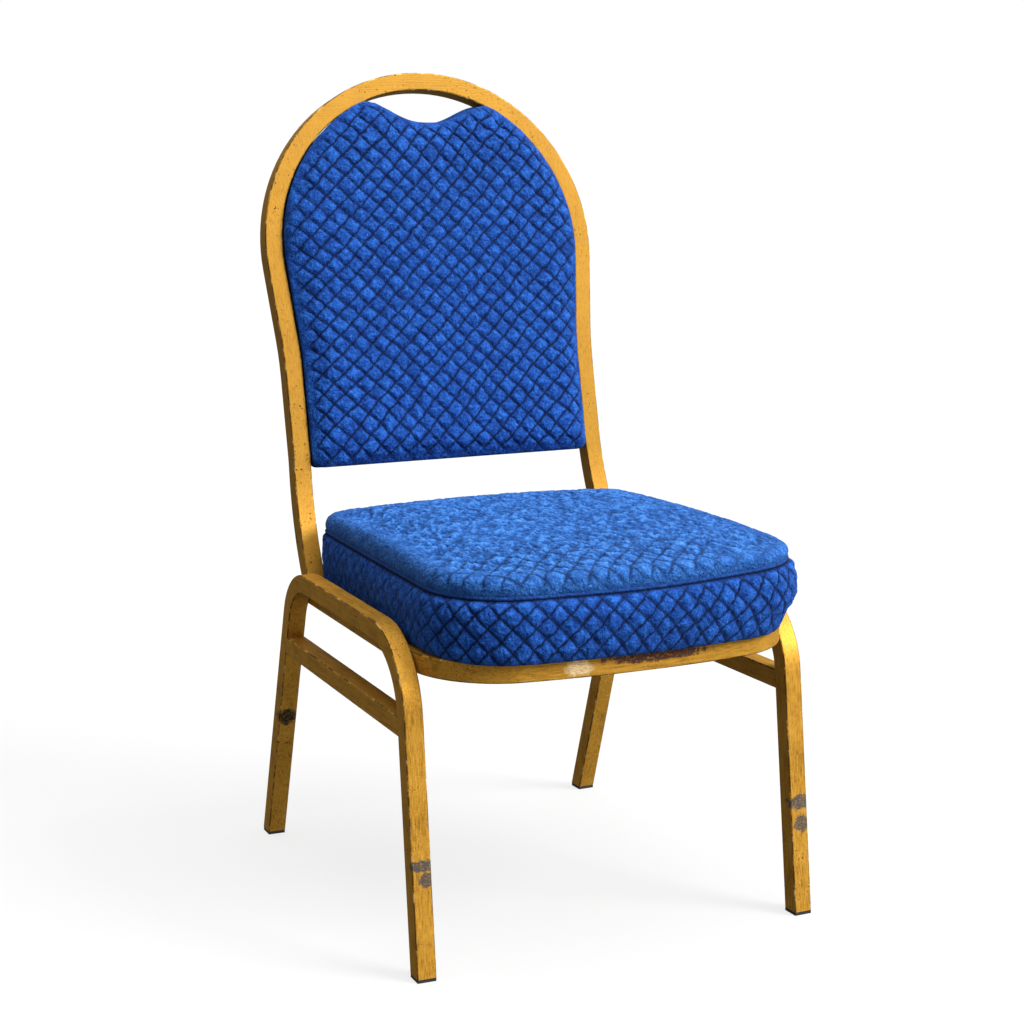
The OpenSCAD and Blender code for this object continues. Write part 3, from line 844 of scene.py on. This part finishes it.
def fabric(name, light, mid, dark, weave_stretch=(1, 1, 1), fuzz=1.0, crumple=(220, 0.75), sheen=0.10,
           relief=0.13):
    """Velour: brushed pile over quilting, with painted shade in the grooves, painted light and shade on its
    creases and puffs, and sheen at grazing angles. Crumple is the scale and strength of its creases, and relief
    how much painted light and shade they put in the colour."""
    s = Shader(name)
    quilt = s.n("ShaderNodeAttribute", attribute_name="quilt")
    parts = s.n("ShaderNodeSeparateXYZ", {0: quilt.outputs["Vector"]})
    groove, puff, crinkle = parts.outputs[0], parts.outputs[1], parts.outputs[2]
    mottle = s.noise(MOTTLE, 4, 0.6, weave_stretch)
    pile = s.noise(PILE, 3, 0.65, weave_stretch)
    fine = s.noise(FINE_PILE, 2, 0.5)
    tone = s.math("ADD", s.math("MULTIPLY", mottle, 0.45), s.math("MULTIPLY", pile, 0.65))
    # Painted light and shade: crease ridges and puffs are lighter, crease valleys darker
    tone = s.math("ADD", tone, s.math("MULTIPLY", crinkle, relief))
    tone = s.math("ADD", tone, s.math("MULTIPLY", puff, 0.06))
    colour = s.ramp(tone, [(0.30, dark), (0.55, mid), (0.84, light)])
    # Painted shade: the quilting grooves, and the band's edge under the piping, are darkened in colour
    line = s.math("MULTIPLY", groove, 1.05, True)
    colour = s.mix(line, colour, tuple(c * 0.45 for c in dark))
    s.put(s.principled.inputs["Base Color"], colour)
    s.put(s.principled.inputs["Roughness"], s.ramp(pile, [(0.3, 0.95), (0.7, 0.78)]))
    s.principled.inputs["Sheen Weight"].default_value = sheen
    s.principled.inputs["Sheen Roughness"].default_value = 0.45
    s.principled.inputs["Sheen Tint"].default_value = (0.20, 0.48, 1.0, 1)
    s.principled.inputs["Specular IOR Level"].default_value = 0.12
    normal = s.bump(s.noise(crumple[0], 3, 0.6, weave_stretch), crumple[1], 0.004)
    normal = s.bump(pile, 0.6 * fuzz, 0.0012, normal)
    normal = s.bump(fine, 0.35 * fuzz, 0.0004, normal)
    s.put(s.principled.inputs["Normal"], normal)
    return s.material


GOLD_DARK = (0.040, 0.018, 0.006)
GOLD_LOW = (0.250, 0.112, 0.012)
GOLD_MID = (0.500, 0.245, 0.026)
GOLD_LIGHT = (0.640, 0.345, 0.050)
# Bright edge colour: partly bare worn metal, partly a painted highlight
GOLD_WEAR_AND_HIGHLIGHT = (0.86, 0.58, 0.22)
ROUND_TOP_FROM = 0.70   # height above which the hoop's edges are told by its second axis


def gold(name, stretch, other=None, mask=None, scuffs=(), grimy=0.7,
         edge_axes=((1, 0, 0),), contrast=1.0, depth=1.0, metallic=0.50):
    """Brushed antique gold on steel: streaks along the tube, dark pits, bright edges that are partly wear and
    partly painted highlight, and dark chipped edges.
    The streaks turn from stretch to other along the mask's axis. Depth scales the tints."""
    s = Shader(name)
    streak = s.noise(1.0, 4, 0.6, stretch)
    if other is not None:
        along = s.noise(1.0, 4, 0.6, other)
        here = s.n("ShaderNodeSeparateXYZ", {0: s.n("ShaderNodeTexCoord").outputs["Object"]})
        axis, low, high = mask
        value = here.outputs["XYZ".index(axis[-1])]
        if axis.startswith("|"):
            value = s.math("ABSOLUTE", value)
        share = s.n("ShaderNodeMapRange", {"Value": value, "From Min": low, "From Max": high}).outputs[0]
        streak = s.n("ShaderNodeMix", {0: share, 2: streak, 3: along}, data_type="FLOAT").outputs[0]
    patch = s.noise(22, 4, 0.6)
    grain = s.noise(520, 3, 0.6)
    tone = s.math("ADD", s.math("MULTIPLY", streak, 0.55), s.math("MULTIPLY", patch, 0.25))
    tone = s.math("ADD", tone, s.math("MULTIPLY", grain, 0.20))
    low, mid, light = (tuple(depth * c for c in tint) for tint in (GOLD_LOW, GOLD_MID, GOLD_LIGHT))
    centre = 0.48
    stops = [(centre - 0.13 / contrast, low), (centre, mid), (centre + 0.16 / contrast, light)]
    colour = s.ramp(tone, stops)

    # Grime in patches, and small dark pits where the paint has gone
    grime = s.ramp(s.noise(34, 5, 0.7), [(0.56, 0.0), (0.72, grimy)])
    colour = s.mix(grime, colour, GOLD_LOW)
    specks = s.ramp(s.noise(300, 3, 0.6), [(0.640, 0.0), (0.68, 1.0)])
    region = s.ramp(s.noise(9, 2, 0.5), [(0.42, 0.0), (0.56, 1.0)])
    pits = s.math("MULTIPLY", specks, region)

    # Edges: on the rounded corners the normal lies between two faces of the tube
    normal = s.n("ShaderNodeNewGeometry").outputs["Normal"]
    turns = [s.n("ShaderNodeVectorMath", {0: normal, 1: axis}, operation="DOT_PRODUCT").outputs["Value"]
             for axis in edge_axes]
    turned = turns[0]
    if len(turns) == 2:
        here = s.n("ShaderNodeSeparateXYZ", {0: s.n("ShaderNodeTexCoord").outputs["Object"]})
        upper = s.math("GREATER_THAN", here.outputs["Z"], ROUND_TOP_FROM)
        turned = s.n("ShaderNodeMix", {0: upper, 2: turned, 3: turns[1]}, data_type="FLOAT").outputs[0]
    square = s.math("MULTIPLY", turned, turned)
    edge = s.math("MULTIPLY", s.math("MULTIPLY", square, s.math("SUBTRACT", 1.0, square)), 4.0, True)
    # Bright corners: partly worn paint, partly a painted highlight
    wear_and_highlight = s.ramp(s.noise(70, 4, 0.65), [(0.50, 0.0), (0.58, 1.0)])
    colour = s.mix(s.math("MULTIPLY", edge, s.math("MULTIPLY", wear_and_highlight, 0.9)), colour, GOLD_WEAR_AND_HIGHLIGHT)
    chip = s.ramp(s.noise(52, 5, 0.7), [(0.48, 1.0), (0.56, 0.0)])
    colour = s.mix(s.math("MULTIPLY", edge, s.math("MULTIPLY", chip, 0.95)), colour, GOLD_DARK)

    for place, radius, tint, strength, soft in scuffs:
        mark = s.near(place, radius, soft)
        hatch = s.ramp(s.noise(1.0, 4, 0.65, (420, 420, 800)), [(0.40, 0.30), (0.52, 1.0)])
        mark = s.math("MULTIPLY", s.math("MULTIPLY", mark, hatch), strength, True)
        colour = s.mix(mark, colour, tint)
    colour = s.mix(s.math("MULTIPLY", pits, 0.9), colour, GOLD_DARK)
    s.put(s.principled.inputs["Base Color"], colour)
    s.principled.inputs["Metallic"].default_value = metallic
    s.principled.inputs["Specular Tint"].default_value = (1.0, 0.72, 0.32, 1)
    rough = s.math("ADD", s.math("MULTIPLY", streak, 0.30), 0.56 - 0.38 * metallic)
    s.put(s.principled.inputs["Roughness"], s.math("ADD", rough, s.math("MULTIPLY", pits, 0.3), True))
    height = s.math("SUBTRACT", tone, s.math("MULTIPLY", pits, 0.9))
    s.put(s.principled.inputs["Normal"], s.bump(height, 0.5, 0.0008))
    return s.material


def plain(name, low, high, scale, rough, metallic=0.0, bump=0.3, stretch=(1, 1, 1)):
    """Small parts: two tones of one finish with fine relief."""
    s = Shader(name)
    value = s.noise(scale, 4, 0.6, stretch)
    s.put(s.principled.inputs["Base Color"], s.ramp(value, [(0.3, low), (0.7, high)]))
    s.put(s.principled.inputs["Roughness"], s.ramp(value, [(0.3, rough[0]), (0.7, rough[1])]))
    s.principled.inputs["Metallic"].default_value = metallic
    s.put(s.principled.inputs["Normal"], s.bump(value, bump, 0.0006))
    return s.material


def paint(node, material):
    """Gives a carried-over CAD node its material."""
    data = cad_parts[node].data
    data.materials.clear()
    data.materials.append(material)


def add(obj, slot, material, *nodes):
    """Gives a piece its material, parents it to the root and hides the CAD nodes that it stands in for. The
    slot is not used.
    """
    obj.data.materials.append(material)
    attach(obj, "root")
    if nodes:
        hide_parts(*nodes)
    return obj


GREY = (0.085, 0.078, 0.075)
BLACK = (0.018, 0.016, 0.015)
RUST = (0.075, 0.028, 0.026)
BARE = (0.92, 0.70, 0.38)
# Rub marks: place, reach each way, colour, strength, and how ragged the edge is
SCUFFS_LEG = [
    ((-0.2300, -0.2555, 0.124), (0.028, 0.025, 0.0120), GREY, 1.5, 0.7),
    ((-0.2260, -0.2545, 0.108), (0.020, 0.025, 0.0150), GREY, 1.4, 0.8),
    ((0.2340, -0.2520, 0.129), (0.028, 0.025, 0.015), GREY, 1.4, 0.7),
    ((0.2360, -0.2530, 0.105), (0.022, 0.025, 0.019), GREY, 1.3, 0.8),
    ((-0.2215, 0.1985, 0.168), (0.017, 0.025, 0.018), BLACK, 1.6, 0.5),
]
SCUFFS_RAIL = [
    ((0.020, -0.3035, 0.336), (0.115, 0.014, 0.0120), RUST, 1.5, 0.7),
    ((-0.072, -0.3035, 0.331), (0.026, 0.014, 0.014), BARE, 1.0, 0.5),
]
SCUFFS_HOOP = [
    ((-0.2030, 0.1850, 0.385), (0.022, 0.030, 0.034), GOLD_DARK, 1.2, 0.9),
    ((0.2030, 0.1850, 0.380), (0.020, 0.026, 0.024), GOLD_DARK, 0.9, 0.9),
]
# Stretch of the brushed streaks, along each axis
ALONG_Z, ALONG_Y, ALONG_X = (640, 640, 20), (640, 20, 640), (20, 640, 640)

gold_leg = gold("gold_leg", ALONG_Z, ALONG_Y, ("Z", 0.325, 0.345), SCUFFS_LEG)
# The hoop's gold tints are scaled down to 0.76: painted shade that tones down the strong light on its face
gold_hoop = gold("gold_hoop", ALONG_Z, ALONG_X, ("Z", 0.86, 0.92), SCUFFS_HOOP, grimy=0.3,
                 edge_axes=((1, 0, 0), (0, -math.cos(RECLINE), math.sin(RECLINE))),
                 contrast=0.6, depth=0.76, metallic=0.42)
gold_brace = gold("gold_brace", ALONG_Y)
gold_rail = gold("gold_rail", ALONG_X, ALONG_Y, ("|X", 0.14, 0.19), SCUFFS_RAIL, grimy=0.8,
                 edge_axes=((0, 0, 1),))
gold_cross = gold("gold_cross", ALONG_X, edge_axes=((0, 0, 1),))
BLUE_LIGHT, BLUE_MID, BLUE_DARK = (0.025, 0.145, 0.590), (0.0062, 0.050, 0.262), (0.0016, 0.013, 0.082)
velour = fabric("velour_blue", BLUE_LIGHT, BLUE_MID, BLUE_DARK)
# The seat top's velour is a lighter copy of the band's: painted light, for the light that falls on the top from
# above
velour_top_painted_light = fabric("velour_blue_top_painted_light", (0.062, 0.235, 0.68), (0.015, 0.084, 0.315), (0.003, 0.022, 0.110),
                    (1, 0.7, 1), crumple=(230, 1.0), sheen=0.12, relief=0.28)
velour_rear = fabric("velour_blue_rear", (0.022, 0.095, 0.36), (0.010, 0.050, 0.22), BLUE_DARK, fuzz=0.8)
velour_piping = fabric("velour_blue_piping", (0.020, 0.090, 0.34), (0.008, 0.042, 0.19), BLUE_DARK, fuzz=0.8)
wood = plain("plywood_edge", (0.36, 0.22, 0.11), (0.55, 0.38, 0.21), 1.0, (0.6, 0.8), 0, 0.4, (40, 9, 700))
dust = plain("dust_cloth", (0.010, 0.010, 0.011), (0.035, 0.035, 0.038), 900, (0.85, 0.98), 0, 0.6)
zinc = plain("zinc_plate", (0.38, 0.39, 0.40), (0.62, 0.62, 0.60), 260, (0.28, 0.5), 1.0, 0.2)
plastic = plain("glide_plastic", (0.008, 0.008, 0.009), (0.030, 0.030, 0.032), 500, (0.45, 0.65), 0, 0.3)
weld = plain("weld_gold", (0.20, 0.10, 0.025), (0.55, 0.32, 0.09), 220, (0.35, 0.6), 0.6, 0.5)

NODE_PAINT = {
    "leg_frame_left": gold_leg, "leg_frame_right": gold_leg,
    "back_hoop": gold_hoop, "back_tabs": gold_hoop,
    "side_brace_left": gold_brace, "side_brace_right": gold_brace,
    "seat_rail": gold_rail, "rear_cross_rail": gold_cross,
    "front_support_bar": gold_cross, "rear_support_bar": gold_cross,
    "seat_board": wood, "back_board": wood, "seat_dust_cover": dust,
    "seat_tee_nuts": zinc, "seat_screws": zinc, "seat_washers": zinc, "back_screws": zinc,
    "glide_front_left": plastic, "glide_front_right": plastic,
    "glide_rear_left": plastic, "glide_rear_right": plastic,
}
for node_name, node_material in NODE_PAINT.items():
    paint(node_name, node_material)

# ------------------------ the pieces

band, panel, welt_line = build_seat()
add(band, "band_fabric", velour, "seat_cover_band")
add(panel, "seat_fabric", velour_top_painted_light, "seat_cover_top", "seat_foam")
piping = add(build_piping(welt_line), "piping", velour_piping, "seat_piping")

pad_front, pad_rear = build_back()
add(pad_front, "back_fabric", velour, "back_cover_front", "back_foam")
add(pad_rear, "rear_fabric", velour_rear, "back_cover_rear")

# Beads under the uprights, between seat rail and legs, and on top of the braces' ends
foot_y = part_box("back_hoop")[0].y + 0.0005
BEAD_SEED = 51
for side, word in ((-1, "left"), (1, "right")):
    runs = {
        "upright": ((0.1905, foot_y, 0.3425), (0.2110, foot_y, 0.3425), 0.0016),
        "rail": ((0.2193, -0.2150, 0.3225), (0.2193, -0.2150, 0.3400), 0.0015),
        "brace_front": ((0.2228, -0.2138, 0.2772), (0.2386, -0.2142, 0.2772), 0.0011),
        "brace_rear": ((0.2136, 0.1592, 0.2772), (0.2294, 0.1588, 0.2772), 0.0011),
    }
    for place, (start, end, radius) in runs.items():
        flip = np.array([side, 1, 1])
        add(bead(f"weld_{place}_{word}", start * flip, end * flip, radius, BEAD_SEED), "gold_frame", weld)

# ------------------------ studio

floor_material = Shader("floor_white")
floor_material.principled.inputs["Base Color"].default_value = (0.13, 0.13, 0.13, 1)
floor_material.principled.inputs["Roughness"].default_value = 0.9
floor_material.principled.inputs["Specular IOR Level"].default_value = 0.0
floor_material.principled.inputs["Emission Color"].default_value = (1, 1, 1, 1)
floor_material.principled.inputs["Emission Strength"].default_value = 0.78
FLOOR = 60   # half its width
floor = make_object("floor", [(-FLOOR, -FLOOR, 0), (FLOOR, -FLOOR, 0), (FLOOR, FLOOR, 0), (-FLOOR, FLOOR, 0)],
                    [(0, 1, 2, 3)])
floor.data.materials.append(floor_material.material)
floor.visible_diffuse = floor.visible_glossy = False

# The backdrop is white, and lights the chair dimly: a little from the right, less from below
world = bpy.data.worlds.new("studio")
scene.world = world
world.use_nodes = True
sky = world.node_tree
background = sky.nodes["Background"]
background.inputs["Color"].default_value = (1, 1, 1, 1)
direction = sky.nodes.new("ShaderNodeTexCoord").outputs["Generated"]
facing = sky.nodes.new("ShaderNodeVectorMath")
facing.operation = "DOT_PRODUCT"
facing.inputs[1].default_value = (0.45, -0.35, 0.82)
sky.links.new(direction, facing.inputs[0])
spread = sky.nodes.new("ShaderNodeMapRange")
for key, value in (("From Min", -1), ("From Max", 1), ("To Min", 0.06), ("To Max", 0.75)):
    spread.inputs[key].default_value = value
sky.links.new(facing.outputs["Value"], spread.inputs["Value"])
seen = sky.nodes.new("ShaderNodeMix")
sky.links.new(sky.nodes.new("ShaderNodeLightPath").outputs["Is Camera Ray"], seen.inputs[0])
sky.links.new(spread.outputs["Result"], seen.inputs[2])
seen.inputs[3].default_value = 1.0
sky.links.new(seen.outputs[0], background.inputs["Strength"])


def lamp(name, place, target, spread, power):
    """A broad, distant softbox: light from one direction, spread over an angle in degrees."""
    data = bpy.data.lights.new(name, "SUN")
    data.angle, data.energy = math.radians(spread), power
    obj = bpy.data.objects.new(name, data)
    obj.location = place
    obj.rotation_mode = "QUATERNION"
    obj.rotation_quaternion = (Vector(target) - Vector(place)).to_track_quat("-Z", "Y")
    scene.collection.objects.link(obj)


lamp("key", (2.5, -2.45, 3.05), (0, 0, 0.45), 26, 4.2)
lamp("top", (0.4, -0.5, 3.2), (0, 0, 0.3), 50, 2.0)

# The photograph's viewpoint
CAMERA_PLACE, CAMERA_TARGET = Vector((-1.0745, -2.2860, 0.9147)), Vector((0, 0.0185, 0.436))
camera_data = bpy.data.cameras.new("camera")
camera_data.sensor_width = 36
camera_data.lens = 77.44
camera = bpy.data.objects.new("camera", camera_data)
camera.location = CAMERA_PLACE
camera.rotation_mode = "QUATERNION"
camera.rotation_quaternion = (CAMERA_TARGET - CAMERA_PLACE).to_track_quat("-Z", "Y")
scene.collection.objects.link(camera)
scene.camera = camera
scene.view_settings.view_transform = "Standard"
